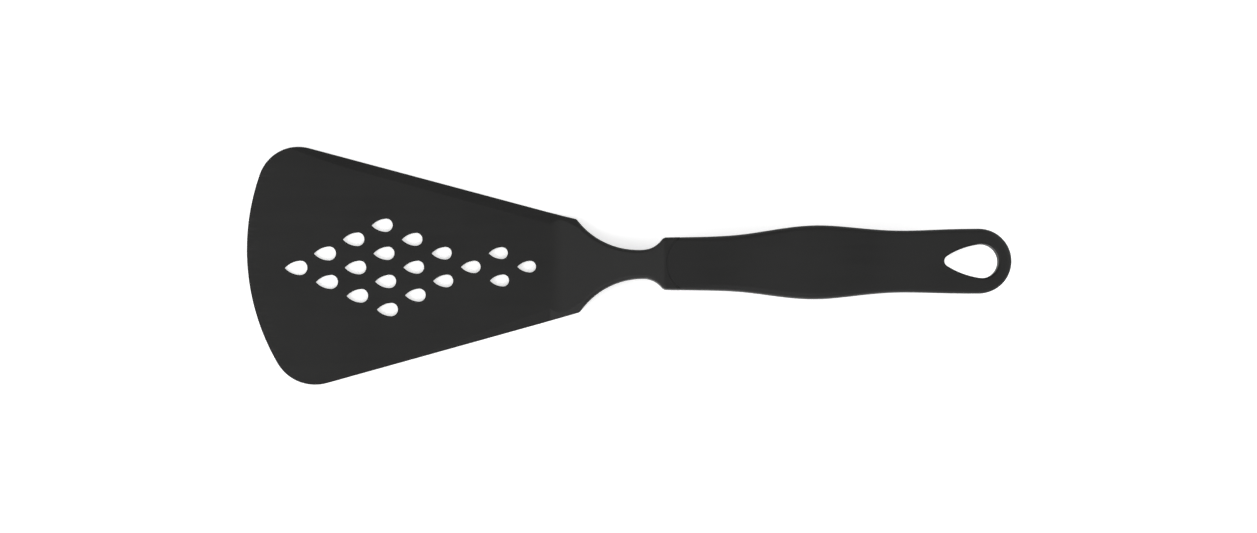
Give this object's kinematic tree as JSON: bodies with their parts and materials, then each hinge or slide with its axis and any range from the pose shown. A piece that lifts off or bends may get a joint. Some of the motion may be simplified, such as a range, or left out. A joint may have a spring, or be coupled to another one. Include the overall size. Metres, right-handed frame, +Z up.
{
  "type": "grill spatula",
  "caption": "Black nylon grill spatula: perforated fan-shaped blade, ramped waisted neck and contoured two-shell handle with a drop-shaped hang hole.",
  "frame": {"origin": "on the underside of the flat blade, on the object's axis, 56 mm behind the leading edge", "axes": "+X along the axis from the blade to the handle's tail, +Y across the blade toward its forward corner, +Z up, away from the cooking surface"},
  "size_m": [0.305, 0.0962, 0.0299],
  "materials": {
    "blade_nylon": "fine matt mould texture",
    "handle_nylon": "fine matt mould texture, softly rounded",
    "dowel_steel": "ground"
  },
  "bodies": {
    "root": {"blade": "blade_nylon", "handle_top_shell": "handle_nylon", "handle_bottom_shell": "handle_nylon", "tang_dowels": "dowel_steel"}
  },
  "joints": []
}
